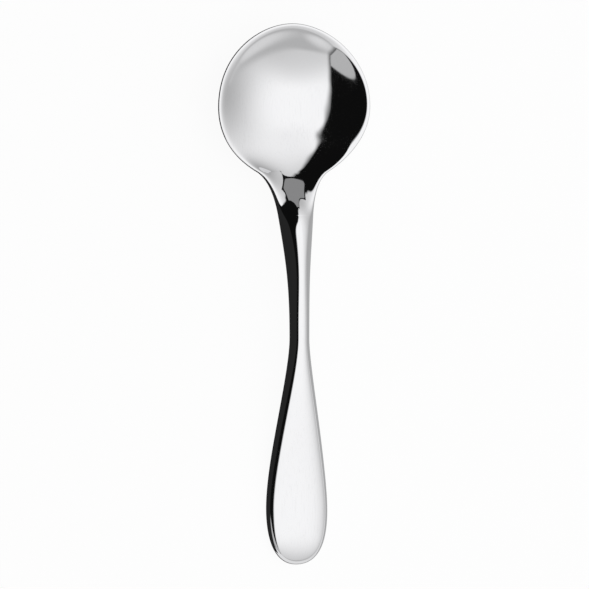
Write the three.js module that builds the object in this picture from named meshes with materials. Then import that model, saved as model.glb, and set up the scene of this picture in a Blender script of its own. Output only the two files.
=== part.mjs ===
// Serving spoon in polished stainless steel: a pressed bowl and a forged handle, butt-welded
// across the neck and ground flush. Millimetres, +Z up, +Y towards the tip of the bowl.
// Stations are measured along the spoon from the tip of the bowl. The spoon stands on the floor
// of its bowl and on the underside of its grip, both at Z = 0.
import * as THREE from 'three';
import { mergeVertices } from 'three/addons/utils/BufferGeometryUtils.js';

// Lengths along the spoon, from one change of the outline to the next
const tipLength = 35.1;
const shoulderLength = 27;
const rootLength = 18.9;
const neckLength = 52;
const gripLength = 73.3;
const endLength = 23.7;

// Widths of the outline, and its lean to the centre line in degrees where it isn't parallel to it
const bowlWidth = 67.4;
const shoulderWidth = 32.4;
const shoulderLean = 59.2;
const rootWidth = 15.4;
const rootLean = 6.6;
const waistWidth = 8.6;
const gripWidth = 27.5;

// Fullness of each stretch of the outline: how far its start and its end hold their direction,
// as a share of the stretch's own length or half width
const tipFullness = [0.438, 0.622];
const shoulderFullness = [0.53, 0.294];
const rootFullness = [0.342, 0.395];
const neckFullness = [0.393, 0.469];
const gripFullness = [0.188, 0.278];
const endFullness = [0.425, 0.853];

// Side view: heights of the middle of the metal, where the straight stretches between bends meet
const rimHeight = 16.4;
const heelHeight = 9.4;
const archHeight = 17.1;

// Places of the bends, from the nearest change of the outline, and the half length of each bend
const dipBehindWidest = 2.4;
const heelBeforeShoulder = 3.3;
const archBeforeWaist = 19.4;
const restBeforeGrip = 8.1;
const dipBend = 18.6;
const heelBend = 11.4;
const archBend = 54.9;
const restBend = 22;

// Metal: the wall of the bowl, and the bar of the neck and the grip at their middle
const bowlWall = 2.2;
const neckThickness = 4.6;
const gripThickness = 5.2;
const thickeningStart = 14;
const rimRound = 1.5;
const topRoundness = 2.5;
const undersideRoundness = 5;

// Crown on the back of the bar: its height at three stations, how round its ridge is, and its narrow
// nose, which starts in the heel of the bowl just before the shoulder
const rootCrown = 4;
const waistCrown = 1.8;
const gripCrown = 2.1;
const neckRidge = 1.5;
const gripRidge = 2;
const noseBeforeShoulder = 2;
const noseLength = 30;
const noseSharpness = 3;

// Dish of the bowl: its length behind the widest station, how much straighter its wall is than
// a paraboloid's, and how softly it runs out into the neck
const dishRear = 43;
const wallStraightness = 0.2;
const runoutSoftness = 0.1;
const runoutLength = 24;

// Depth of the flats ground under the bowl and the grip, where the spoon stands
const restFlat = 0.38;

// Facets: rows along each stretch of the outline, columns from the centre to the edge, and how close
// two corners are taken as one
const bowlRows = [16, 14, 12];
const handleRows = [16, 20, 14];
const bowlColumns = 13;
const handleColumns = 9;
const cornerTolerance = 1e-4;

const { clamp, degToRad, lerp, smootherstep } = THREE.MathUtils;

// Stations of the outline's changes
const widestStation = tipLength;
const shoulderStation = widestStation + shoulderLength;
const rootStation = shoulderStation + rootLength;
const waistStation = rootStation + neckLength;
const gripStation = waistStation + gripLength;
const overallLength = gripStation + endLength;

// Stations of the side view's bends
const dipStation = widestStation + dipBehindWidest;
const heelStation = shoulderStation - heelBeforeShoulder;
const archStation = waistStation - archBeforeWaist;
const restStation = gripStation - restBeforeGrip;
const noseStation = shoulderStation - noseBeforeShoulder;

// Half outline in plan, each point being half width and station
const tip = new THREE.Vector2(0, 0);
const widest = new THREE.Vector2(bowlWidth / 2, widestStation);
const shoulder = new THREE.Vector2(shoulderWidth / 2, shoulderStation);
const root = new THREE.Vector2(rootWidth / 2, rootStation);
const waist = new THREE.Vector2(waistWidth / 2, waistStation);
const grip = new THREE.Vector2(gripWidth / 2, gripStation);
const end = new THREE.Vector2(0, overallLength);

// Unit direction of the outline where it leans inwards by an angle
function leaning(degrees) {
  const angle = degToRad(degrees);
  return new THREE.Vector2(-Math.sin(angle), Math.cos(angle));
}

const outwards = leaning(-90);
const inwards = leaning(90);
const parallel = leaning(0);

// Smooth stretch between two points, which leaves the first and reaches the second in given directions
function stretch(from, leaving, to, reaching, holdFrom, holdTo) {
  const first = from.clone().addScaledVector(leaving, holdFrom);
  const second = to.clone().addScaledVector(reaching, -holdTo);
  return new THREE.CubicBezierCurve(from, first, second, to);
}

const bowlOutline = [
  stretch(tip, outwards, widest, parallel, tipFullness[0] * widest.x, tipFullness[1] * tipLength),
  stretch(widest, parallel, shoulder, leaning(shoulderLean),
    shoulderFullness[0] * shoulderLength, shoulderFullness[1] * shoulderLength),
  stretch(shoulder, leaning(shoulderLean), root, leaning(rootLean),
    rootFullness[0] * rootLength, rootFullness[1] * rootLength),
];

const handleOutline = [
  stretch(root, leaning(rootLean), waist, parallel, neckFullness[0] * neckLength, neckFullness[1] * neckLength),
  stretch(waist, parallel, grip, parallel, gripFullness[0] * gripLength, gripFullness[1] * gripLength),
  stretch(grip, parallel, end, inwards, endFullness[0] * endLength, endFullness[1] * grip.x),
];

// Zero before a bend and a slope of one after it, with an even bend between
function bend(distance, halfLength) {
  const t = clamp(distance / halfLength, -1, 1);
  return halfLength * (t + 1) ** 3 * (3 - t) / 16 + Math.max(0, distance - halfLength);
}

// Height of the middle of the metal along the spoon's edge: level rim, dip to the heel, rise to the
// arch of the neck, and fall to the grip
const restHeight = gripThickness / 2 - restFlat;
const dipSlope = (rimHeight - heelHeight) / (heelStation - dipStation);
const riseSlope = (archHeight - heelHeight) / (archStation - heelStation);
const fallSlope = (archHeight - restHeight) / (restStation - archStation);

function edgeHeight(station) {
  return rimHeight
    - dipSlope * bend(station - dipStation, dipBend)
    + (dipSlope + riseSlope) * bend(station - heelStation, heelBend)
    - (riseSlope + fallSlope) * bend(station - archStation, archBend)
    + fallSlope * bend(station - restStation, restBend);
}

// How far the dish's rear is drawn out, against a tip of the same curvature
const dishStretch = Math.max(0, 1 - (tipLength / dishRear) ** 2);

// Share of the way from the edge's height down to the floor of the bowl, at a share of the way from
// the centre line to the edge: one at the bowl's centre, none at its edge, and running out behind
function dish(share, station) {
  const behind = Math.max(0, station - widestStation);
  const level = 1 - behind ** 2 / (tipLength ** 2 + dishStretch * behind ** 2);
  const heel = widestStation + dishRear;
  const softness = runoutSoftness * smootherstep(station, heel - runoutLength, heel);
  const sunk = (level + Math.hypot(level, softness)) / 2 * (1 - share ** 2);
  return sunk * (1 - wallStraightness * (1 - sunk));
}

const floorHeight = bowlWall / 2 - restFlat;

function middleHeight(share, station) {
  return lerp(edgeHeight(station), floorHeight, dish(share, station));
}

// Half the metal's thickness, square to its middle surface
function halfThickness(station) {
  const neckShare = smootherstep(station, shoulderStation - thickeningStart, rootStation);
  const gripShare = smootherstep(station, waistStation, gripStation);
  const neck = lerp(bowlWall, neckThickness, neckShare);
  return lerp(neck, gripThickness, gripShare) / 2;
}

// Rise of the bar's rounded back: a narrow nose in the heel of the bowl, which spreads to the full
// width of the neck
function crownHeight(share, station) {
  const nose = smootherstep(station, noseStation, noseStation + noseLength);
  const neck = lerp(rootCrown, waistCrown, smootherstep(station, rootStation, waistStation));
  const gripShare = smootherstep(station, waistStation, gripStation);
  const height = lerp(neck, gripCrown, gripShare);
  const ridge = lerp(neckRidge, gripRidge, gripShare);
  const sharpness = lerp(noseSharpness, 1, nose);
  return height * nose * (1 - share ** ridge) ** sharpness;
}

// Upright allowance that makes a wall on a slope as thick as a level one, from the slope along the
// row and the slope square to it
function slopeAllowance(share, station, reach) {
  const small = 0.001;
  const width = reach.length();
  const outer = middleHeight(share + small, station + small * reach.y);
  const inner = middleHeight(share - small, station - small * reach.y);
  const along = (outer - inner) / (2 * small * width);
  const climb = middleHeight(share, station + small) - middleHeight(share, station - small);
  const square = climb / (2 * small) * reach.x / width;
  return Math.hypot(1, along, square);
}

// One row of the skin, from the centre line out to a point of the outline. Rows lie square across
// the spoon, and fan out round the middle of the bowl and of the grip at its two ends
function skinRow(point, direction, columns) {
  const spine = new THREE.Vector2(0, clamp(point.y, widestStation, gripStation));
  const reach = point.clone().sub(spine);
  const width = reach.length();
  const squareness = Math.abs(reach.cross(direction)) / width;
  const handleShare = smootherstep(point.y, heelStation, archStation);
  const rimRoundness = 2 * width * squareness / rimRound;
  const topPower = lerp(rimRoundness, topRoundness, handleShare);
  const undersidePower = lerp(rimRoundness, undersideRoundness, handleShare);
  const row = [];
  for (let column = 0; column <= columns; column += 1) {
    const share = Math.sin(Math.PI / 2 * column / columns);
    const place = spine.clone().addScaledVector(reach, share);
    const middle = middleHeight(share, place.y);
    const metal = halfThickness(place.y) * slopeAllowance(share, place.y, reach);
    const top = middle + crownHeight(share, place.y) + metal * Math.sqrt(1 - share ** topPower);
    const underside = middle - metal * Math.sqrt(1 - share ** undersidePower);
    const y = overallLength / 2 - place.y;
    row.push({
      top: new THREE.Vector3(place.x, y, top),
      underside: new THREE.Vector3(place.x, y, Math.max(underside, 0)),
    });
  }
  return row;
}

function skinRows(outline, rowCounts, columns) {
  const rows = [];
  outline.forEach((curve, index) => {
    const first = index === 0 ? 0 : 1;
    for (let step = first; step <= rowCounts[index]; step += 1) {
      const t = step / rowCounts[index];
      rows.push(skinRow(curve.getPoint(t), curve.getTangent(t), columns));
    }
  });
  return rows;
}

// Corners of the triangles of one quad, or of one triangle where two corners are the same point
function quad(a, b, c, d) {
  const triangles = [[a, b, c], [a, c, d]];
  return triangles.filter(([p, q, r]) => p.distanceTo(q) > 0 && q.distanceTo(r) > 0 && r.distanceTo(p) > 0);
}

function mirrored(triangle) {
  return triangle.map((corner) => new THREE.Vector3(-corner.x, corner.y, corner.z)).reverse();
}

// Closed solid of a piece from its rows, with a flat face across the end where it meets the other piece
function pieceGeometry(rows, jointRow, jointFacesBowl) {
  const triangles = [];
  for (let i = 0; i + 1 < rows.length; i += 1) {
    for (let j = 0; j + 1 < rows[i].length; j += 1) {
      const [here, beside] = [rows[i][j], rows[i][j + 1]];
      const [next, nextBeside] = [rows[i + 1][j], rows[i + 1][j + 1]];
      triangles.push(...quad(here.top, next.top, nextBeside.top, beside.top));
      triangles.push(...quad(here.underside, beside.underside, nextBeside.underside, next.underside));
    }
  }
  for (let j = 0; j + 1 < jointRow.length; j += 1) {
    const [inner, outer] = [jointRow[j], jointRow[j + 1]];
    const face = quad(inner.top, inner.underside, outer.underside, outer.top);
    triangles.push(...face.map((triangle) => (jointFacesBowl ? triangle.reverse() : triangle)));
  }
  const corners = triangles.flatMap((triangle) => [...triangle, ...mirrored(triangle)]);
  const geometry = new THREE.BufferGeometry().setFromPoints(corners);
  return mergeVertices(geometry, cornerTolerance);
}

function polishedSteel() {
  return new THREE.MeshStandardMaterial({ color: 0xd5d7d9, metalness: 1, roughness: 0.06 });
}

function makeBowl() {
  const rows = skinRows(bowlOutline, bowlRows, bowlColumns);
  const mesh = new THREE.Mesh(pieceGeometry(rows, rows.at(-1), false), polishedSteel());
  mesh.name = 'bowl';
  return mesh;
}

function makeHandle() {
  const rows = skinRows(handleOutline, handleRows, handleColumns);
  const mesh = new THREE.Mesh(pieceGeometry(rows, rows[0], true), polishedSteel());
  mesh.name = 'handle';
  return mesh;
}

const spoon = new THREE.Group();
spoon.add(makeBowl(), makeHandle());

export default spoon;
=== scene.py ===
import math

import bmesh
import bpy
from bpy.props import FloatProperty, FloatVectorProperty, IntProperty, PointerProperty
from mathutils import Matrix, Vector


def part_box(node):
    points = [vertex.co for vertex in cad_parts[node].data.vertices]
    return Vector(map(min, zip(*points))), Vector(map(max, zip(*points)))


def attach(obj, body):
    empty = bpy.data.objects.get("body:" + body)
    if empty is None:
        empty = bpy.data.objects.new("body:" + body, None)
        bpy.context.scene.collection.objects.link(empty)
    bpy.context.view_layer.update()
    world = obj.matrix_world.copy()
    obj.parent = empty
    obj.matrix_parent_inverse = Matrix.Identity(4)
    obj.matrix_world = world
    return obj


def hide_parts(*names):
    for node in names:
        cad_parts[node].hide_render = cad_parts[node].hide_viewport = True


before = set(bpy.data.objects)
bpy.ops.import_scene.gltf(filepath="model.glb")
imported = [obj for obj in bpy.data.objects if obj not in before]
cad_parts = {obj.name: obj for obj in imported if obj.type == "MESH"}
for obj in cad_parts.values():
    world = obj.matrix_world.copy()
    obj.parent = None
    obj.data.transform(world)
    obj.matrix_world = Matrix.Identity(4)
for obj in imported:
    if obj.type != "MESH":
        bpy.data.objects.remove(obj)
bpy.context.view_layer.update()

bl_info = {
    "name": "Serving spoon",
    "version": (1, 0, 0),
    "blender": (4, 5, 0),
    "location": "View3D > Sidebar > Spoon",
    "description": "Makes a polished steel serving spoon, its floor, its light tent and its camera",
    "category": "Object",
}

MM = 0.001
BOWL_LOW, BOWL_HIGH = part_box("bowl")
HANDLE_LOW, HANDLE_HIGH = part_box("handle")
BODY = "root"

# How the skins are made: points on each stretch of the outline, steps at the weld, how close two points are
# to be merged and two row numbers to be the same, and which way a piece runs from the weld
CURVE_POINTS = 512
LID_STEP = 0.2 * MM
SEAM_STEP = 0.01 * MM
MERGE_DISTANCE = 0.001 * MM
SAME_ROW = 0.25
TO_TIP = -1
TO_END = 1

# Polishing hairlines: how they stretch along the spoon, how fine and how dark they are, and the broad haze
# that thins them out
HAIRLINE_STRETCH = (1, 0.02, 1)
HAIRLINE_FINENESS = 2600
HAIRLINE_DETAIL = 4
HAIRLINE_GRAIN = 0.65
HAIRLINE_EDGE = (0.45, 0.75)
HAIRLINE_SHADE = 0.12
HAIRLINE_TONE = (0.5, 0.5, 0.5, 1)
HAZE_FINENESS = 40
HAZE_DETAIL = 2
HAZE_EDGE = (0.35, 0.7)
HAZE_LEAST = 0.35
BOWL_WEAR = 1
HANDLE_WEAR = 0.8

# Places of a Mix node's colours among its sockets
MIX_FIRST = 6
MIX_SECOND = 7
MIX_RESULT = 2

# Light tent, by the direction that the light comes from, as distance over height to the right and to the
# back. A pair of numbers is where a soft edge starts and where it ends. The cloth fades towards the floor,
# and towards the front and the back
TENT_FACETS = 5
LEAST_HEIGHT = 0.01
CLOTH_LOW = 0.37
CLOTH_TOP = 0.97
CLOTH_FADE = 2.2
CLOTH_ENDS = (0.3, 0.85)
CLOTH_ENDS_SHADE = 0.3

# Grey strip across the front. Its edge curves down on the right and grows softer there. It lightens towards
# the floor, from higher up on the far right, and is lighter on the left, beyond a slanting end
STRIP_START = 1.37
STRIP_CURVE = 0.7
STRIP_BEND = 2.5
STRIP_LEFT = -1
STRIP_EDGE = (-0.04, 0.06)
STRIP_SOFT = 1.75
STRIP_LIGHT = 0.45
STRIP_LOW = (0.15, 0.45)
STRIP_LOW_LIGHT = 0.68
STRIP_LIFT = 0.1
STRIP_LIFT_START = 6
STRIP_LIFT_MOST = 7
STRIP_END_SLANT = 1.69
STRIP_END = (-2.75, -2.5)
FRONT_LIGHT = 0.75

# Black flag on the left, a little lighter on the far left, with a soft shade beside it that narrows along
# the middle of its edge. The cut edge goes slantwise from the left in front to the right behind, each point
# being how far along the slant it lies and how far to the right of it
FLAG_CUT = ((-0.87, 0.263), (-0.7, -0.066), (-0.5, -0.309), (-0.27, -0.43), (-0.08, -0.452), (0.02, -0.437),
            (0.08, -0.418), (0.17, -0.407), (0.3, -0.428), (0.43, -0.479), (0.58, -0.526), (0.7, -0.465))
FLAG_EDGE = (-0.1, 0.1)
FLAG_FAR = (-1.5, -1.3)
FLAG_FAR_LIGHT = 0.018
FLAG_SHADE = 0.1
FLAG_SHADE_EDGE = (-0.25, 1)
FLAG_SHADE_WIDTH = 0.13
FLAG_SHADE_NARROW = 0.035
FLAG_NARROW_START = (-0.35, -0.05)
FLAG_NARROW_END = (0.15, 0.4)

# Grey wedge where the flag ends in front, and the open cloth beyond it
WEDGE_START = (1.6, 1.63)
WEDGE_SIDE = (0.35, 0.45)
WEDGE_LIGHT = 0.46
WEDGE_END = 1.55
WEDGE_SLANT = 0.485
WEDGE_REACH = -0.8
WEDGE_GAP = (0.02, 0.04)
WEDGE_CLOTH = (-0.02, 0)

# Grey wall behind, with a dark line round it. Its top slants down to both sides, and its right end slants too
WALL_START = 1.25
WALL_SLANT = 0.15
WALL_LEFT_SLANT = -4
WALL_RIGHT = 0.42
WALL_RIGHT_SLANT = 0.55
WALL_LEAST = 0.01
WALL_LINE = (0, 0.03)
WALL_EDGE = (0.1, 0.13)
WALL_LIGHT = 0.25

# Glowing sheet under the spoon that only the steel sees: a painted reflection, dark on the left, grey on the
# right
GLOW_SHEET_DROP = 0.2 * MM
FLOOR_DROP = 0.5 * MM
PAINTED_REFLECTION_TURN = (-15 * MM, 10 * MM)
PAINTED_DARK_REFLECTION = 0.023
PAINTED_GREY_REFLECTION = 0.52

# Camera
SENSOR_WIDTH = 36


# Sizes and colours that a user may change

def length(name, description, millimetres):
    """A size in metres, given in millimetres."""
    return FloatProperty(name=name, description=description, default=millimetres * MM, unit="LENGTH",
                         subtype="DISTANCE", precision=5)


def share(name, description, value):
    """A plain number, most often a share of a length."""
    return FloatProperty(name=name, description=description, default=value, subtype="FACTOR")


def lean(name, description, degrees):
    """An angle in radians, given in degrees."""
    return FloatProperty(name=name, description=description, default=math.radians(degrees), unit="ROTATION",
                         subtype="ANGLE")


class SpoonSizes(bpy.types.PropertyGroup):
    """Sizes of the spoon. Stations are measured along it from the tip of the bowl."""

    overall_length: length("Overall length", "From the tip of the bowl to the end of the grip",
                           (BOWL_HIGH[1] - HANDLE_LOW[1]) / MM)
    tip_length: length("Tip length", "From the tip of the bowl to its widest station", 35.1)
    shoulder_length: length("Shoulder length", "From the widest station to the shoulder", 27)
    root_station: length("Root station", "From the tip of the bowl to the weld at the root of the neck",
                         (BOWL_HIGH[1] - BOWL_LOW[1]) / MM)
    neck_length: length("Neck length", "From the root of the neck to its waist", 52)
    grip_length: length("Grip length", "From the waist to the widest station of the grip", 73.3)

    bowl_width: length("Bowl width", "Width of the bowl at its widest", (BOWL_HIGH[0] - BOWL_LOW[0]) / MM)
    shoulder_width: length("Shoulder width", "Width at the shoulder, where the outline turns hollow", 32.4)
    shoulder_lean: lean("Shoulder lean", "Lean of the outline to the centre line at the shoulder", 59.2)
    root_width: length("Root width", "Width at the root of the neck", 15.4)
    root_lean: lean("Root lean", "Lean of the outline to the centre line at the root", 6.6)
    waist_width: length("Waist width", "Width of the neck at its narrowest", 8.6)
    grip_width: length("Grip width", "Width of the grip at its widest", (HANDLE_HIGH[0] - HANDLE_LOW[0]) / MM)

    tip_start: share("Tip start", "How long the tip holds its direction, of the half width", 0.438)
    tip_finish: share("Tip finish", "How long the outline holds its direction before the widest station",
                      0.622)
    shoulder_start: share("Shoulder start", "The same, behind the widest station", 0.53)
    shoulder_finish: share("Shoulder finish", "The same, before the shoulder", 0.294)
    root_start: share("Root start", "The same, behind the shoulder", 0.342)
    root_finish: share("Root finish", "The same, before the root", 0.395)
    neck_start: share("Neck start", "The same, behind the root", 0.393)
    neck_finish: share("Neck finish", "The same, before the waist", 0.469)
    grip_start: share("Grip start", "The same, behind the waist", 0.188)
    grip_finish: share("Grip finish", "The same, before the grip's widest station", 0.278)
    end_start: share("End start", "The same, behind the grip's widest station", 0.425)
    end_finish: share("End finish", "How long the end holds its direction, of the half width", 0.853)

    rim_height: length("Rim height", "Height of the middle of the rim above the table", 16.4)
    heel_height: length("Heel height", "Height at the bend between bowl and neck", 9.4)
    arch_height: length("Arch height", "Height at the bend on top of the neck", 17.1)
    dip_behind_widest: length("Dip place", "Place of the bend where the rim starts to dip", 2.4)
    heel_before_shoulder: length("Heel place", "Place of the bend at the heel, before the shoulder", 3.3)
    arch_before_waist: length("Arch place", "Place of the bend on top of the neck, before the waist", 19.4)
    rest_before_grip: length("Rest place", "Place of the bend where the grip comes level", 8.1)
    dip_bend: length("Dip bend", "Half length of the bend where the rim starts to dip", 18.6)
    heel_bend: length("Heel bend", "Half length of the bend at the heel", 11.4)
    arch_bend: length("Arch bend", "Half length of the bend on top of the neck", 54.9)
    rest_bend: length("Rest bend", "Half length of the bend where the grip comes level", 22)

    bowl_wall: length("Bowl wall", "Thickness of the bowl's metal", 2.2)
    neck_thickness: length("Neck thickness", "Thickness of the neck without its crown", 4.6)
    grip_thickness: length("Grip thickness", "Thickness of the grip without its crown", 5.2)
    thickening_start: length("Thickening start", "How far before the shoulder the wall starts to thicken", 14)
    rim_round: length("Rim rounding", "How far in from the edge the rim is rounded", 1.5)
    top_roundness: share("Top roundness", "Power of the rounding on the back of the bar", 2.5)
    underside_roundness: share("Underside roundness", "Power of the rounding under the bar", 5)

    root_crown: length("Root crown", "Height of the crown on the neck at its root", 4)
    waist_crown: length("Waist crown", "Height of the crown at the waist", 1.8)
    grip_crown: length("Grip crown", "Height of the crown on the grip", 2.1)
    nose_before_shoulder: length("Nose start", "Where the crown's nose starts, before the shoulder", 2)
    nose_length: length("Nose length", "Length of the crown's nose", 30)
    nose_sharpness: share("Nose sharpness", "How narrow the crown's nose starts", 3)
    neck_ridge: share("Neck ridge", "How round the ridge of the neck's crown is", 1.5)
    grip_ridge: share("Grip ridge", "How round the ridge of the grip's crown is", 2)

    dish_rear: length("Dish rear", "Length of the dish behind the widest station", 43)
    wall_straightness: share("Wall straightness", "How much straighter the wall is than a paraboloid's", 0.2)
    runout_softness: share("Run-out softness", "How softly the dish runs out into the neck", 0.1)
    runout_length: length("Run-out length", "Length over which the dish's end softens", 24)
    rest_flat: length("Rest flat", "Depth of the flats that the spoon stands on", 0.38)


class SpoonFinish(bpy.types.PropertyGroup):
    """Facets and steel of the spoon."""

    bowl_rows: IntProperty(name="Bowl rows", description="Rows along each stretch of the bowl's outline",
                           default=76)
    bowl_columns: IntProperty(name="Bowl columns", description="Columns across the bowl", default=121)
    handle_rows: IntProperty(name="Handle rows", default=90,
                             description="Rows along each stretch of the handle's outline")
    handle_columns: IntProperty(name="Handle columns", description="Columns across the handle", default=81)
    steel: FloatVectorProperty(name="Steel", description="Colour of the polished steel", size=3,
                               subtype="COLOR", default=(0.72, 0.72, 0.73))
    polish: share("Polish", "Roughness of the polished steel", 0.035)
    hairlines: share("Hairlines", "How much the polishing hairlines roughen the steel", 0.03)


class SpoonStage(bpy.types.PropertyGroup):
    """Floor, light tent and camera."""

    tent_radius: FloatProperty(name="Tent radius", description="Radius of the light tent", default=3,
                               unit="LENGTH", subtype="DISTANCE")
    tent_light: FloatProperty(name="Tent light", description="Brightness of the tent overhead", default=1.31)
    flag_light: FloatProperty(name="Flag light", description="Brightness of the black flag, of the tent's",
                              default=0.004)
    # Size of the glowing sheet that paints dark and grey reflections into the steel
    card_size: FloatProperty(name="Glow sheet size", description="Length of the card's sides", default=6,
                             unit="LENGTH", subtype="DISTANCE")
    floor_size: FloatProperty(name="Floor size", description="Length of the floor's sides", default=40,
                              unit="LENGTH", subtype="DISTANCE")
    floor_shade: FloatVectorProperty(name="Floor", description="Colour of the floor", size=3, subtype="COLOR",
                                     default=(0.9, 0.9, 0.9))
    floor_glow: share("Floor glow", "How much of the floor shows as plain white instead of lit", 0.94)
    camera_tilt: lean("Camera tilt", "Angle of the view to the side of straight down", 18)
    camera_roll: lean("Camera roll", "Turn of the picture", 1.614)
    camera_distance: length("Camera distance", "From the camera to what it aims at", 850)
    camera_right: length("Camera right", "How far right of the spoon's middle the camera aims", 2.33)
    camera_up: length("Camera up", "How far above the spoon's middle, in the picture, the camera aims", 0.72)
    camera_lens: FloatProperty(name="Camera lens", default=120.9,
                               description="Focal length on a 36 mm sensor, in millimetres")


# Node trees written as sums

class Field:
    """A number in a node tree. Sums with it add Math nodes to the tree."""

    def __init__(self, tree, socket):
        self.tree = tree
        self.socket = socket

    def math(self, operation, *others):
        node = self.tree.nodes.new("ShaderNodeMath")
        node.operation = operation
        for slot, value in zip(node.inputs, (self, *others)):
            plug(self.tree, slot, value)
        return Field(self.tree, node.outputs[0])

    def __add__(self, other):
        return self.math("ADD", other)

    def __radd__(self, other):
        return self.math("ADD", other)

    def __sub__(self, other):
        return self.math("SUBTRACT", other)

    def __rsub__(self, other):
        return (self * -1).math("ADD", other)

    def __mul__(self, other):
        return self.math("MULTIPLY", other)

    def __truediv__(self, other):
        return self.math("DIVIDE", other)

    def __neg__(self):
        return self * -1

    def __pow__(self, other):
        return self.math("POWER", other)

    def __abs__(self):
        return self.math("ABSOLUTE")

    def sin(self):
        return self.math("SINE")

    def cos(self):
        return self.math("COSINE")

    def root(self):
        return self.math("SQRT")

    def floor(self):
        return self.math("FLOOR")

    def sign(self):
        return self.math("SIGN")

    def at_least(self, low):
        return self.math("MAXIMUM", low)

    def at_most(self, high):
        return self.math("MINIMUM", high)

    def below(self, other):
        return self.math("LESS_THAN", other)

    def above(self, other):
        return self.math("GREATER_THAN", other)

    def within(self, low, high):
        return self.at_least(low).at_most(high)

    def step(self, low, high):
        """Zero up to low and one from high, with level ends and even curvature between."""
        t = ((self - low) / (high - low)).within(0, 1)
        return t * t * t * (t * (t * 6 - 15) + 10)


def plug(tree, slot, value):
    """Links a field or a socket to a slot, or sets the slot to a plain value."""
    if isinstance(value, Field):
        tree.links.new(value.socket, slot)
    elif isinstance(value, bpy.types.NodeSocket):
        tree.links.new(value, slot)
    else:
        slot.default_value = value


def add(tree, kind, options=None, **slots):
    """A new node with its options set and its slots plugged by name, with underscores for blanks."""
    node = tree.nodes.new(kind)
    for option, value in (options or {}).items():
        setattr(node, option, value)
    for name, value in slots.items():
        plug(tree, node.inputs[name.replace("_", " ")], value)
    return node


def mix(low, high, amount):
    """From low to high by an amount between zero and one."""
    return amount * (high - low) + low


def point(tree, x, y, z=0.0):
    """A vector of three numbers or fields."""
    return add(tree, "ShaderNodeCombineXYZ", X=x, Y=y, Z=z).outputs[0]


def split(tree, vector):
    """The three fields of a vector."""
    node = add(tree, "ShaderNodeSeparateXYZ", Vector=vector)
    return [Field(tree, output) for output in node.outputs]


# The rule of the spoon's shape

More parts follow.
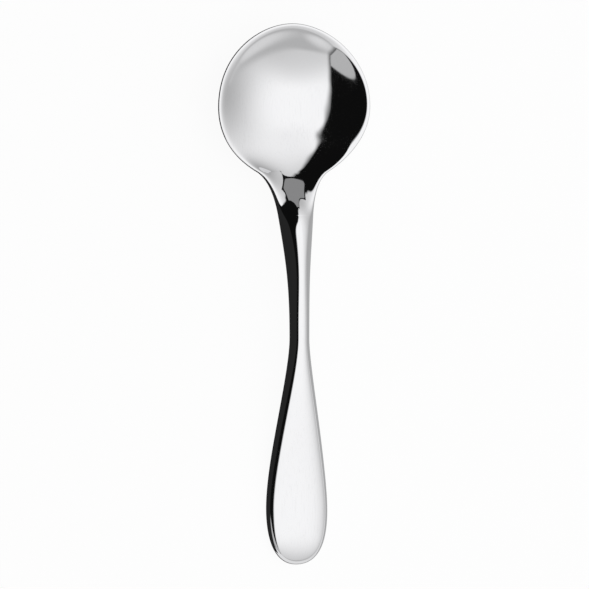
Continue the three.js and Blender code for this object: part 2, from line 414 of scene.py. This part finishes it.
class SpoonRule:
    """Heights of the spoon as fields, from the sizes that are the inputs of a node tree."""

    def __init__(self, tree, sizes):
        self.tree = tree
        self.sizes = sizes
        self.widest = sizes["tip_length"]
        self.shoulder = self.widest + sizes["shoulder_length"]
        self.root = sizes["root_station"]
        self.waist = self.root + sizes["neck_length"]
        self.grip = self.waist + sizes["grip_length"]
        self.dip = self.widest + sizes["dip_behind_widest"]
        self.heel = self.shoulder - sizes["heel_before_shoulder"]
        self.arch = self.waist - sizes["arch_before_waist"]
        self.rest = self.grip - sizes["rest_before_grip"]
        self.floor = sizes["bowl_wall"] * 0.5 - sizes["rest_flat"]
        rest_height = sizes["grip_thickness"] * 0.5 - sizes["rest_flat"]
        self.dip_slope = (sizes["rim_height"] - sizes["heel_height"]) / (self.heel - self.dip)
        self.rise_slope = (sizes["arch_height"] - sizes["heel_height"]) / (self.arch - self.heel)
        self.fall_slope = (sizes["arch_height"] - rest_height) / (self.rest - self.arch)

    @staticmethod
    def bend(distance, half_length):
        """Zero before a bend and a slope of one after it, with an even bend between."""
        t = (distance / half_length).within(-1, 1)
        return half_length * (t + 1) ** 3 * (3 - t) * (1 / 16) + (distance - half_length).at_least(0)

    def edge_height(self, station):
        """Level rim, dip to the heel, rise to the arch of the neck, and fall to the grip."""
        sizes = self.sizes
        dip = self.dip_slope * self.bend(station - self.dip, sizes["dip_bend"])
        heel = (self.dip_slope + self.rise_slope) * self.bend(station - self.heel, sizes["heel_bend"])
        arch = (self.rise_slope + self.fall_slope) * self.bend(station - self.arch, sizes["arch_bend"])
        rest = self.fall_slope * self.bend(station - self.rest, sizes["rest_bend"])
        return sizes["rim_height"] - dip + heel - arch + rest

    def dish(self, across, station):
        """How far the metal sinks from the edge's height to the floor of the bowl."""
        sizes = self.sizes
        behind = ((station - self.widest).at_least(0) / sizes["tip_length"]) ** 2
        stretch = (1 - (sizes["tip_length"] / sizes["dish_rear"]) ** 2).at_least(0)
        level = 1 - behind / (stretch * behind + 1)
        heel = self.widest + sizes["dish_rear"]
        softness = sizes["runout_softness"] * station.step(heel - sizes["runout_length"], heel)
        soft_level = (level + (level * level + softness * softness).root()) * 0.5
        sunk = soft_level * (1 - across * across)
        return sunk * (1 - sizes["wall_straightness"] * (1 - sunk))

    def middle_height(self, across, station):
        """Height of the middle of the metal."""
        edge = self.edge_height(station)
        return mix(edge, self.floor, self.dish(across, station))

    def half_thickness(self, station):
        """Half the metal's thickness, from the bowl's wall through the neck to the grip."""
        sizes = self.sizes
        start = self.shoulder - sizes["thickening_start"]
        neck = mix(sizes["bowl_wall"], sizes["neck_thickness"], station.step(start, self.root))
        return mix(neck, sizes["grip_thickness"], station.step(self.waist, self.grip)) * 0.5

    def crown_height(self, across, station):
        """Rise of the bar's rounded back, from a narrow nose in the heel of the bowl."""
        sizes = self.sizes
        start = self.shoulder - sizes["nose_before_shoulder"]
        nose = station.step(start, start + sizes["nose_length"])
        neck = mix(sizes["root_crown"], sizes["waist_crown"], station.step(self.root, self.waist))
        grip_share = station.step(self.waist, self.grip)
        height = mix(neck, sizes["grip_crown"], grip_share)
        ridge = mix(sizes["neck_ridge"], sizes["grip_ridge"], grip_share)
        sharpness = mix(sizes["nose_sharpness"], 1, nose)
        return height * nose * (1 - across ** ridge).at_least(0) ** sharpness

    def corners(self):
        """Places of the outline's changes, each as half width, station and lean to the centre line."""
        sizes = self.sizes
        level = self.widest * 0
        square = level + math.pi / 2
        return {
            "tip": (level, level, -square),
            "widest": (sizes["bowl_width"] * 0.5, self.widest, level),
            "shoulder": (sizes["shoulder_width"] * 0.5, self.shoulder, sizes["shoulder_lean"]),
            "root": (sizes["root_width"] * 0.5, self.root, sizes["root_lean"]),
            "waist": (sizes["waist_width"] * 0.5, self.waist, level),
            "grip": (sizes["grip_width"] * 0.5, self.grip, level),
            "end": (level, sizes["overall_length"], square),
        }


# Each stretch of the outline, from the weld outwards: its two corners, and how far it holds its direction
# at each of them, as a share of a size

BOWL_STRETCHES = [
    ("root", "root_finish", "root_length", "shoulder", "root_start", "root_length"),
    ("shoulder", "shoulder_finish", "shoulder_length", "widest", "shoulder_start", "shoulder_length"),
    ("widest", "tip_finish", "tip_length", "tip", "tip_start", "half_bowl"),
]
HANDLE_STRETCHES = [
    ("root", "neck_start", "neck_length", "waist", "neck_finish", "neck_length"),
    ("waist", "grip_start", "grip_length", "grip", "grip_finish", "grip_length"),
    ("grip", "end_start", "end_length", "end", "end_finish", "half_grip"),
]


def stretch_curve(tree, rule, stretch, way):
    """The curve of one stretch of the outline, in plan, with the station as its Y."""
    first, first_hold, first_size, last, last_hold, last_size = stretch
    sizes = dict(rule.sizes)
    sizes["root_length"] = rule.root - rule.shoulder
    sizes["end_length"] = sizes["overall_length"] - rule.grip
    sizes["half_bowl"] = sizes["bowl_width"] * 0.5
    sizes["half_grip"] = sizes["grip_width"] * 0.5
    ends = []
    for corner, hold, size, sense in ((first, first_hold, first_size, way),
                                      (last, last_hold, last_size, -way)):
        x, station, slant = rule.corners()[corner]
        held = sizes[hold] * sizes[size] * sense
        ends.append((point(tree, x, station), point(tree, -(held * slant.sin()), held * slant.cos())))
    (start, start_handle), (finish, finish_handle) = ends
    node = add(tree, "GeometryNodeCurvePrimitiveBezierSegment", {"mode": "OFFSET"}, Resolution=CURVE_POINTS,
               Start=start, Start_Handle=start_handle, End=finish, End_Handle=finish_handle)
    return node.outputs[0]


def choose(tree, test, value, otherwise):
    """One vector where a test holds, and another elsewhere."""
    node = add(tree, "GeometryNodeSwitch", {"input_type": "VECTOR"}, Switch=test)
    plug(tree, node.inputs["True"], value)
    plug(tree, node.inputs["False"], otherwise)
    return node.outputs[0]


def outline_fields(tree, rule, stretches, way, row, rows):
    """Half width and station of the outline at a row, and its direction there, away from the weld."""
    place = direction = None
    for number, stretch in enumerate(stretches):
        sample = add(tree, "GeometryNodeSampleCurve", {"mode": "FACTOR"},
                     Curves=stretch_curve(tree, rule, stretch, way),
                     Factor=((row - rows * number) / rows).within(0, 1))
        here, heading = sample.outputs["Position"], sample.outputs["Tangent"]
        if number == 0:
            place, direction = here, heading
        else:
            reached = row.above(rows * number)
            place = choose(tree, reached, here, place)
            direction = choose(tree, reached, heading, direction)
    return split(tree, place)[:2], split(tree, direction)[:2]


def skin_tree(name, stretches, way):
    """Node tree of a piece: rows from the weld outwards, a top, an underside, and a lid on the weld."""
    tree = bpy.data.node_groups.new(name, "GeometryNodeTree")
    sockets = {}
    for key, prop in sizes_of(SpoonSizes):
        sockets[key] = tree.interface.new_socket(prop.name, in_out="INPUT", socket_type="NodeSocketFloat")
    for key in ("Rows", "Columns"):
        sockets[key] = tree.interface.new_socket(key, in_out="INPUT", socket_type="NodeSocketInt")
    sockets["Material"] = tree.interface.new_socket("Material", in_out="INPUT",
                                                    socket_type="NodeSocketMaterial")
    tree.interface.new_socket("Geometry", in_out="OUTPUT", socket_type="NodeSocketGeometry")
    inputs = tree.nodes.new("NodeGroupInput")
    given = {key: Field(tree, output) for key, output in zip(sockets, inputs.outputs)}
    rows, columns = given["Rows"], given["Columns"]
    rule = SpoonRule(tree, given)

    # The first row is the lid's. The next two lie close together at the weld, which keeps its edge crisp
    grid_rows = rows * len(stretches) + 3
    grid = add(tree, "GeometryNodeMeshGrid", Size_X=1.0, Size_Y=1.0, Vertices_X=columns, Vertices_Y=grid_rows)
    index = Field(tree, add(tree, "GeometryNodeInputIndex").outputs[0])
    column = (index / grid_rows).floor()
    row = index - column * grid_rows
    lid = row.below(SAME_ROW)
    close = abs(row - 2).below(SAME_ROW)
    spread = column / (columns - 1) * 2 - 1
    across = (abs(spread) * (math.pi / 2)).sin()
    side = spread.sign()

    # Rows lie square across the spoon, and fan out round the middle of the bowl and of the grip
    (half_width, station), (sideways, onwards) = outline_fields(
        tree, rule, stretches, way, (row - 2).at_least(0), rows)
    half_width = half_width + sideways * close * SEAM_STEP
    station = station + onwards * close * SEAM_STEP
    spine = station.within(rule.widest, rule.grip)
    reach = station - spine
    width = (half_width * half_width + reach * reach).root()
    squareness = abs(half_width * onwards - reach * sideways) / width
    here = spine + across * reach
    half_length = given["overall_length"] * 0.5

    # The middle of the metal, with the lid's row a step beyond the weld so that the slope is true there
    beyond = lid * LID_STEP
    slope_x = side * across * (half_width - sideways * beyond)
    slope_station = here - onwards * beyond
    middle = add(tree, "GeometryNodeSetPosition", Geometry=grid.outputs["Mesh"], Position=point(
        tree, slope_x, half_length - slope_station, rule.middle_height(across, slope_station))).outputs[0]
    normal = split(tree, add(tree, "GeometryNodeInputNormal").outputs[0])[2]
    metal = rule.half_thickness(here) / abs(normal) * (1 - lid)

    handle_share = station.step(rule.heel, rule.arch)
    rim_power = width * squareness * 2 / given["rim_round"]
    top_power = mix(rim_power, given["top_roundness"], handle_share)
    underside_power = mix(rim_power, given["underside_roundness"], handle_share)
    height = rule.middle_height(across, here)
    crown = rule.crown_height(across, here) * (1 - lid)
    top = height + crown + metal * (1 - across ** top_power).at_least(0).root()
    underside = (height - metal * (1 - across ** underside_power).at_least(0).root()).at_least(0)

    join = tree.nodes.new("GeometryNodeJoinGeometry")
    on_points = {"domain": "POINT", "data_type": "FLOAT"}
    on_lid = add(tree, "GeometryNodeFieldOnDomain", on_points, Value=lid).outputs[0]
    from_weld = add(tree, "GeometryNodeFieldOnDomain", on_points, Value=abs(row - 1)).outputs[0]
    for level, turned in ((top, way == TO_END), (underside, way == TO_TIP)):
        skin = add(tree, "GeometryNodeSetPosition", Geometry=middle, Position=point(
            tree, side * across * half_width, half_length - here, level)).outputs[0]
        if turned:
            skin = add(tree, "GeometryNodeFlipFaces", Mesh=skin).outputs[0]
        smooth = add(tree, "GeometryNodeSetShadeSmooth", {"domain": "FACE"}, Geometry=skin, Shade_Smooth=True)
        flat = add(tree, "GeometryNodeSetShadeSmooth", {"domain": "FACE"}, Geometry=smooth.outputs[0],
                   Selection=on_lid, Shade_Smooth=False)
        crisp = add(tree, "GeometryNodeSetShadeSmooth", {"domain": "EDGE"}, Geometry=flat.outputs[0],
                    Selection=Field(tree, from_weld).below(SAME_ROW), Shade_Smooth=False)
        tree.links.new(crisp.outputs[0], join.inputs[0])
    merged = add(tree, "GeometryNodeMergeByDistance", Geometry=join.outputs[0], Distance=MERGE_DISTANCE)
    whole = add(tree, "GeometryNodeRealizeInstances", Geometry=merged.outputs[0])
    finished = add(tree, "GeometryNodeSetMaterial", Geometry=whole.outputs[0], Material=given["Material"])
    add(tree, "NodeGroupOutput", Geometry=finished.outputs[0])
    return tree, {key: socket.identifier for key, socket in sockets.items()}


def sizes_of(group):
    """The properties of a group, without those that every group has."""
    shared = ("rna_type", "name")
    return [(prop.identifier, prop) for prop in group.bl_rna.properties if prop.identifier not in shared]


def make_piece(context, name, stretches, way, rows, columns, material):
    """A piece of the spoon as a plain closed mesh, riding on the part's one body in place of its node."""
    tree, identifiers = skin_tree(name.title() + " skin", stretches, way)
    piece = bpy.data.objects.new("spoon_" + name, bpy.data.meshes.new("spoon_" + name))
    context.scene.collection.objects.link(piece)
    modifier = piece.modifiers.new("Skin", "NODES")
    modifier.node_group = tree
    sizes = context.scene.spoon_sizes
    for key, _ in sizes_of(SpoonSizes):
        modifier[identifiers[key]] = getattr(sizes, key)
    modifier[identifiers["Rows"]] = rows
    modifier[identifiers["Columns"]] = columns
    modifier[identifiers["Material"]] = material
    evaluated = piece.evaluated_get(context.evaluated_depsgraph_get())
    mesh = bpy.data.meshes.new_from_object(evaluated)
    piece.modifiers.remove(modifier)
    piece.data = mesh
    mesh.name = piece.name
    require_solid(mesh)
    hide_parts(name)
    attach(piece, BODY)
    return piece


def require_solid(mesh):
    """Stops if a piece isn't closed or is inside out."""
    shape = bmesh.new()
    shape.from_mesh(mesh)
    open_edges = sum(1 for edge in shape.edges if not edge.is_manifold)
    volume = shape.calc_volume(signed=True)
    shape.free()
    if open_edges or volume <= 0:
        raise RuntimeError(f"{mesh.name} has {open_edges} open edges and a volume of {volume}")


# Steel

def hairline_group():
    """Fine scratches of a polishing wheel, which run along the spoon."""
    group = bpy.data.node_groups.new("Polishing hairlines", "ShaderNodeTree")
    group.interface.new_socket("Place", in_out="INPUT", socket_type="NodeSocketVector")
    group.interface.new_socket("Roughness", in_out="INPUT", socket_type="NodeSocketFloat")
    group.interface.new_socket("Strength", in_out="INPUT", socket_type="NodeSocketFloat")
    group.interface.new_socket("Colour", in_out="INPUT", socket_type="NodeSocketColor")
    group.interface.new_socket("Roughness", in_out="OUTPUT", socket_type="NodeSocketFloat")
    group.interface.new_socket("Colour", in_out="OUTPUT", socket_type="NodeSocketColor")
    given = group.nodes.new("NodeGroupInput").outputs
    scratches = add(group, "ShaderNodeMapping", {"vector_type": "POINT"}, Vector=given["Place"],
                    Scale=HAIRLINE_STRETCH)
    fine = add(group, "ShaderNodeTexNoise", Vector=scratches.outputs[0], Scale=HAIRLINE_FINENESS,
               Detail=HAIRLINE_DETAIL, Roughness=HAIRLINE_GRAIN)
    broad = add(group, "ShaderNodeTexNoise", Vector=given["Place"], Scale=HAZE_FINENESS, Detail=HAZE_DETAIL)
    haze = Field(group, broad.outputs[0]).step(*HAZE_EDGE)
    amount = Field(group, fine.outputs[0]).step(*HAIRLINE_EDGE) * mix(HAZE_LEAST, 1, haze)
    roughness = Field(group, given["Roughness"]) + Field(group, given["Strength"]) * amount
    tone = add(group, "ShaderNodeMix", {"data_type": "RGBA", "blend_type": "MULTIPLY"})
    plug(group, tone.inputs["Factor"], amount * HAIRLINE_SHADE)
    plug(group, tone.inputs[MIX_FIRST], given["Colour"])
    plug(group, tone.inputs[MIX_SECOND], HAIRLINE_TONE)
    outputs = group.nodes.new("NodeGroupOutput")
    plug(group, outputs.inputs["Roughness"], roughness)
    plug(group, outputs.inputs["Colour"], tone.outputs[MIX_RESULT])
    return group


def polished_steel(context, name, strength):
    """Mirror-polished stainless steel with faint hairlines."""
    finish = context.scene.spoon_finish
    material = bpy.data.materials.new(name)
    material.use_nodes = True
    tree = material.node_tree
    shader = tree.nodes["Principled BSDF"]
    shader.inputs["Metallic"].default_value = 1
    place = add(tree, "ShaderNodeTexCoord").outputs["Object"]
    group = bpy.data.node_groups.get("Polishing hairlines") or hairline_group()
    lines = add(tree, "ShaderNodeGroup", {"node_tree": group}, Place=place, Roughness=finish.polish,
                Strength=finish.hairlines * strength, Colour=(*finish.steel, 1))
    tree.links.new(lines.outputs["Colour"], shader.inputs["Base Color"])
    tree.links.new(lines.outputs["Roughness"], shader.inputs["Roughness"])
    return material


# Stage

def bare_material(name):
    """A new material with nothing in its node tree."""
    material = bpy.data.materials.new(name)
    material.use_nodes = True
    material.node_tree.nodes.clear()
    return material


def shine(tree, light):
    """Makes a material give off white light."""
    glow = add(tree, "ShaderNodeEmission", Color=(1, 1, 1, 1), Strength=light)
    add(tree, "ShaderNodeOutputMaterial", Surface=glow.outputs[0])


def white_floor(stage):
    """White floor that shows as plain white, also in the steel, and keeps a little of the shadow."""
    material = bare_material("White floor")
    tree = material.node_tree
    ray = add(tree, "ShaderNodeLightPath").outputs
    seen = Field(tree, ray["Is Camera Ray"]).at_least(Field(tree, ray["Is Glossy Ray"]))
    seen = seen.at_least(Field(tree, ray["Is Transmission Ray"]))
    lit = add(tree, "ShaderNodeBsdfDiffuse", Color=(*stage.floor_shade, 1))
    plain = add(tree, "ShaderNodeEmission", Color=(1, 1, 1, 1), Strength=1.0)
    both = add(tree, "ShaderNodeMixShader", Fac=seen * stage.floor_glow)
    tree.links.new(lit.outputs[0], both.inputs[1])
    tree.links.new(plain.outputs[0], both.inputs[2])
    add(tree, "ShaderNodeOutputMaterial", Surface=both.outputs[0])
    return material


def cut_edge(tree, along, points):
    """A smooth curve through points, as a field of the distance along it."""
    low, high = points[0][0], points[-1][0]
    sides = [side for _, side in points]
    least, most = min(sides), max(sides)
    node = add(tree, "ShaderNodeFloatCurve", Value=((along - low) / (high - low)).within(0, 1))
    curve = node.mapping.curves[0]
    for place, side in points[1:-1]:
        curve.points.new((place - low) / (high - low), (side - least) / (most - least))
    curve.points[0].location = (0, (sides[0] - least) / (most - least))
    curve.points[len(points) - 1].location = (1, (sides[-1] - least) / (most - least))
    node.mapping.update()
    return Field(tree, node.outputs[0]) * (most - least) + least


def cloth_light(y, z):
    """Light of the bare cloth."""
    light = mix(CLOTH_TOP, CLOTH_LOW, (1 - z.within(0, 1)) ** CLOTH_FADE)
    return light * (1 - abs(y).step(*CLOTH_ENDS) * CLOTH_ENDS_SHADE)


def with_strip(light, right, back):
    """The light with the grey strip across the front."""
    aside = right.at_least(STRIP_LEFT)
    beyond = -back - aside / (aside + STRIP_BEND) * STRIP_CURVE - STRIP_START
    lift = (right - STRIP_LIFT_START).within(0, STRIP_LIFT_MOST) * STRIP_LIFT
    low = (beyond + lift).step(*STRIP_LOW)
    strip = mix(STRIP_LIGHT, STRIP_LOW_LIGHT, low)
    strip = mix(FRONT_LIGHT, strip, (right + back * STRIP_END_SLANT).step(*STRIP_END))
    shown = (beyond / (1 + aside.at_least(0) * STRIP_SOFT)).step(*STRIP_EDGE)
    return mix(light, strip, shown.at_least(low))


def with_flag(light, right, back, black):
    """The light with the black flag on the left, and with the grey wedge at the flag's front end."""
    slant = (right + back) * 0.5
    narrow = slant.step(*FLAG_NARROW_START) * (1 - slant.step(*FLAG_NARROW_END))
    past = (right - back) * 0.5 - cut_edge(right.tree, slant, FLAG_CUT)
    past = past / mix(FLAG_SHADE_WIDTH, FLAG_SHADE_NARROW, narrow)
    near = right.step(*FLAG_FAR)
    end = back + right.at_least(WEDGE_REACH) * WEDGE_SLANT + WEDGE_END
    wedge = (-right - back).step(*WEDGE_START) * (-back).step(*WEDGE_SIDE) * end.step(*WEDGE_GAP) * near
    flag = mix(mix(FLAG_FAR_LIGHT, black, near), WEDGE_LIGHT, wedge)
    shade = mix(FLAG_SHADE, 1, past.step(*FLAG_SHADE_EDGE))
    beside = mix(flag, light * shade, past.step(*FLAG_EDGE))
    return mix(light, beside, end.step(*WEDGE_CLOTH).at_least(1 - near))


def with_wall(light, right, back, black):
    """The light with the grey wall behind, which has rounded corners."""
    top = (right * WALL_SLANT).at_least(right * WALL_LEFT_SLANT) + WALL_START
    under_top = (back - top).at_least(0)
    inside = (back * WALL_RIGHT_SLANT - right + WALL_RIGHT).at_least(0)
    depth = under_top * inside / (under_top + inside).at_least(WALL_LEAST)
    wall = mix(black, WALL_LIGHT, depth.step(*WALL_EDGE))
    return mix(light, wall, depth.step(*WALL_LINE))


def tent_cloth(stage):
    """White cloth lit from outside, with a grey strip, a black flag and a grey wall before it."""
    material = bare_material("Tent cloth")
    tree = material.node_tree
    towards = add(tree, "ShaderNodeVectorMath", {"operation": "NORMALIZE"})
    tree.links.new(add(tree, "ShaderNodeTexCoord").outputs["Object"], towards.inputs[0])
    x, y, z = split(tree, towards.outputs[0])
    height = z.at_least(LEAST_HEIGHT)
    right, back = x / height, y / height
    light = with_strip(cloth_light(y, z), right, back)
    light = with_flag(light, right, back, stage.flag_light)
    light = with_wall(light, right, back, stage.flag_light)
    shine(tree, light * stage.tent_light)
    return material


def painted_reflection_sheet():
    """Glowing sheet, seen only in the steel, that paints darker reflections towards the left of the spoon."""
    material = bare_material("Painted reflection glow")
    tree = material.node_tree
    x = split(tree, add(tree, "ShaderNodeTexCoord").outputs["Object"])[0]
    # Painted reflection: nearly black glow on the left of the spoon, grey glow on the right
    shine(tree, mix(PAINTED_DARK_REFLECTION, PAINTED_GREY_REFLECTION, x.step(*PAINTED_REFLECTION_TURN)))
    return material


def flat_sheet(size, drop):
    """A function that fills a bmesh with a square sheet below the spoon."""
    def build(shape):
        bmesh.ops.create_grid(shape, x_segments=1, y_segments=1, size=size / 2,
                              matrix=Matrix.Translation((0, 0, -drop)))
    return build


def round_tent(radius):
    """A function that fills a bmesh with a ball round the spoon."""
    def build(shape):
        bmesh.ops.create_icosphere(shape, subdivisions=TENT_FACETS, radius=radius)
    return build


def stage_piece(context, name, build, material):
    """An object of the stage from a function that fills a bmesh."""
    shape = bmesh.new()
    build(shape)
    mesh = bpy.data.meshes.new(name)
    shape.to_mesh(mesh)
    shape.free()
    mesh.materials.append(material)
    piece = bpy.data.objects.new(name, mesh)
    context.scene.collection.objects.link(piece)
    return piece


def place_camera(context, stage):
    """Camera over the spoon, tilted to its left and turned a little, as in the photograph."""
    tilt, roll = stage.camera_tilt, stage.camera_roll
    level_right = Vector((math.cos(tilt), 0, math.sin(tilt)))
    level_up = Vector((0, 1, 0))
    right = level_right * math.cos(roll) - level_up * math.sin(roll)
    up = level_up * math.cos(roll) + level_right * math.sin(roll)
    back = right.cross(up)
    aim = right * stage.camera_right + up * stage.camera_up
    data = bpy.data.cameras.new("Camera")
    data.lens = stage.camera_lens
    data.sensor_width = SENSOR_WIDTH
    camera = bpy.data.objects.new("Camera", data)
    turn = Matrix((right, up, back)).transposed().to_4x4()
    camera.matrix_world = Matrix.Translation(aim + back * stage.camera_distance) @ turn
    context.scene.collection.objects.link(camera)
    context.scene.camera = camera


def light_world(context):
    """Plain white behind the floor."""
    world = bpy.data.worlds.new("White")
    world.use_nodes = True
    background = world.node_tree.nodes["Background"]
    background.inputs["Color"].default_value = (1, 1, 1, 1)
    background.inputs["Strength"].default_value = 1
    context.scene.world = world


# Operators

class MakeBowl(bpy.types.Operator):
    """Make the pressed bowl, from its tip to the weld"""

    bl_idname = "spoon.make_bowl"
    bl_label = "Make bowl"

    def execute(self, context):
        finish = context.scene.spoon_finish
        steel = polished_steel(context, "Bowl steel", BOWL_WEAR)
        make_piece(context, "bowl", BOWL_STRETCHES, TO_TIP, finish.bowl_rows, finish.bowl_columns, steel)
        return {"FINISHED"}


class MakeHandle(bpy.types.Operator):
    """Make the forged handle, from the weld to the end of the grip"""

    bl_idname = "spoon.make_handle"
    bl_label = "Make handle"

    def execute(self, context):
        finish = context.scene.spoon_finish
        steel = polished_steel(context, "Handle steel", HANDLE_WEAR)
        make_piece(context, "handle", HANDLE_STRETCHES, TO_END, finish.handle_rows, finish.handle_columns,
                   steel)
        return {"FINISHED"}


class MakeStage(bpy.types.Operator):
    """Make the floor, the light tent and the camera"""

    bl_idname = "spoon.make_stage"
    bl_label = "Make stage"

    def execute(self, context):
        stage = context.scene.spoon_stage
        stage_piece(context, "Floor", flat_sheet(stage.floor_size, FLOOR_DROP), white_floor(stage))
        # Glowing sheet that only the steel sees and that lights nothing: a painted dark and grey reflection
        # under the spoon
        glow_sheet = stage_piece(context, "Painted reflection sheet", flat_sheet(stage.card_size, GLOW_SHEET_DROP), painted_reflection_sheet())
        glow_sheet.visible_camera = False
        glow_sheet.visible_diffuse = False
        glow_sheet.visible_shadow = False
        tent = stage_piece(context, "Light tent", round_tent(stage.tent_radius), tent_cloth(stage))
        tent.visible_camera = False
        light_world(context)
        place_camera(context, stage)
        context.scene.view_settings.view_transform = "Standard"
        return {"FINISHED"}


class SpoonPanel(bpy.types.Panel):
    """Buttons and sizes of the spoon"""

    bl_idname = "VIEW3D_PT_spoon"
    bl_label = "Serving spoon"
    bl_space_type = "VIEW_3D"
    bl_region_type = "UI"
    bl_category = "Spoon"

    def draw(self, context):
        for operator in (MakeBowl, MakeHandle, MakeStage):
            self.layout.operator(operator.bl_idname)
        for name in GROUPS:
            column = self.layout.column(align=True)
            group = getattr(context.scene, name)
            for key, _ in sizes_of(type(group)):
                column.prop(group, key)


GROUPS = {"spoon_sizes": SpoonSizes, "spoon_finish": SpoonFinish, "spoon_stage": SpoonStage}
CLASSES = (*GROUPS.values(), MakeBowl, MakeHandle, MakeStage, SpoonPanel)


def register():
    """Registers the classes and gives the scene its groups of sizes."""
    for item in CLASSES:
        bpy.utils.register_class(item)
    for name, group in GROUPS.items():
        setattr(bpy.types.Scene, name, PointerProperty(type=group))


def unregister():
    """Takes back what register did."""
    for name in GROUPS:
        delattr(bpy.types.Scene, name)
    for item in reversed(CLASSES):
        bpy.utils.unregister_class(item)


def main():
    """Makes the spoon and its stage."""
    register()
    bpy.ops.spoon.make_bowl()
    bpy.ops.spoon.make_handle()
    bpy.ops.spoon.make_stage()


if __name__ == "__main__":
    main()
